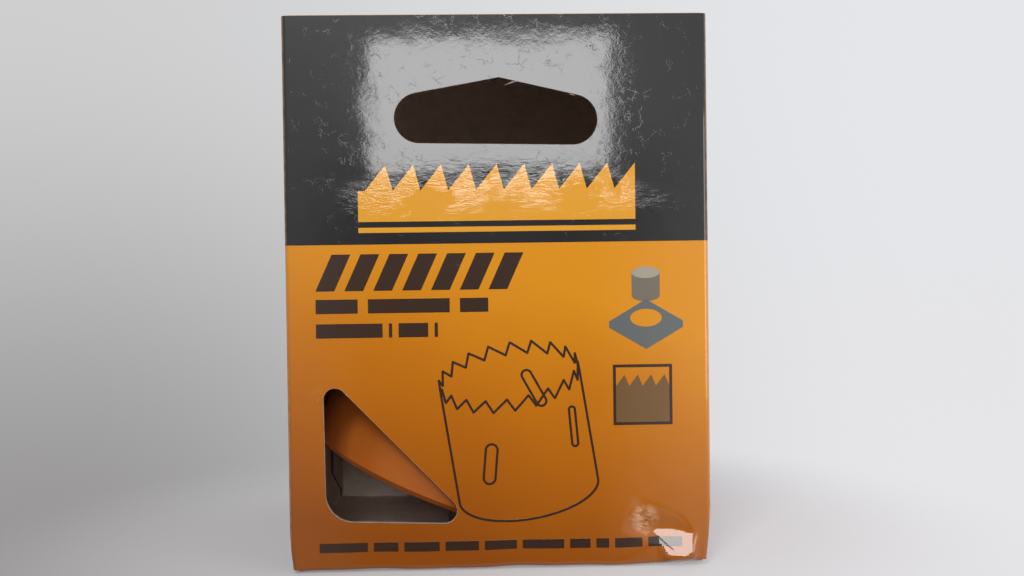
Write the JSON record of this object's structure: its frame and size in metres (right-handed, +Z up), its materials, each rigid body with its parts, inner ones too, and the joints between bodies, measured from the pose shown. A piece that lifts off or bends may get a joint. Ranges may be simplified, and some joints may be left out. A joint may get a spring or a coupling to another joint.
{
  "type": "boxed hole saw",
  "caption": "Printed hang carton with a tuck lid at each end and a window, holding a toothed cup hole saw that leans inside.",
  "frame": {"origin": "middle of the carton's underside, on the surface it stands on", "axes": "+Z up the carton, +X to the right along the printed front, +Y from the front to the back"},
  "size_m": [0.0662, 0.0531, 0.087],
  "materials": {
    "carton_board": "gloss laminated board, printed orange outside and bare grey-brown inside",
    "black_ink": "gloss laminated black print",
    "orange_ink": "gloss laminated orange print",
    "dark_ink": "gloss laminated dark brown print",
    "steel_blue_ink": "gloss laminated blue-grey print",
    "grey_ink": "gloss laminated grey print",
    "pale_ink": "gloss laminated pale grey print",
    "brown_ink": "gloss laminated brown print",
    "saw_paint": "orange enamel over a rolled steel band, bare at the tooth tips"
  },
  "bodies": {
    "carton": {"carton_sleeve": "carton_board", "print_header": "black_ink", "print_motif": "orange_ink", "print_title": "dark_ink", "print_text": "dark_ink", "print_saw_drawing": "dark_ink", "print_slab": "steel_blue_ink", "print_plug_side": "grey_ink", "print_plug_top": "pale_ink", "print_frame": "dark_ink", "print_teeth": "brown_ink", "saw_cup": "saw_paint", "saw_cap": "saw_paint"},
    "top_lid": {"top_lid": "carton_board"},
    "bottom_lid": {"bottom_lid": "carton_board"}
  },
  "joints": [
    {"name": "top_lid_crease", "type": "hinge", "parent": "carton", "child": "top_lid", "pos_m": [0, 0.0265, 0.087], "axis": [-1, 0, 0], "range_deg": [0, 180]},
    {"name": "bottom_lid_crease", "type": "hinge", "parent": "carton", "child": "bottom_lid", "pos_m": [0, -0.0265, 0], "axis": [-1, 0, 0], "range_deg": [0, 180]}
  ]
}
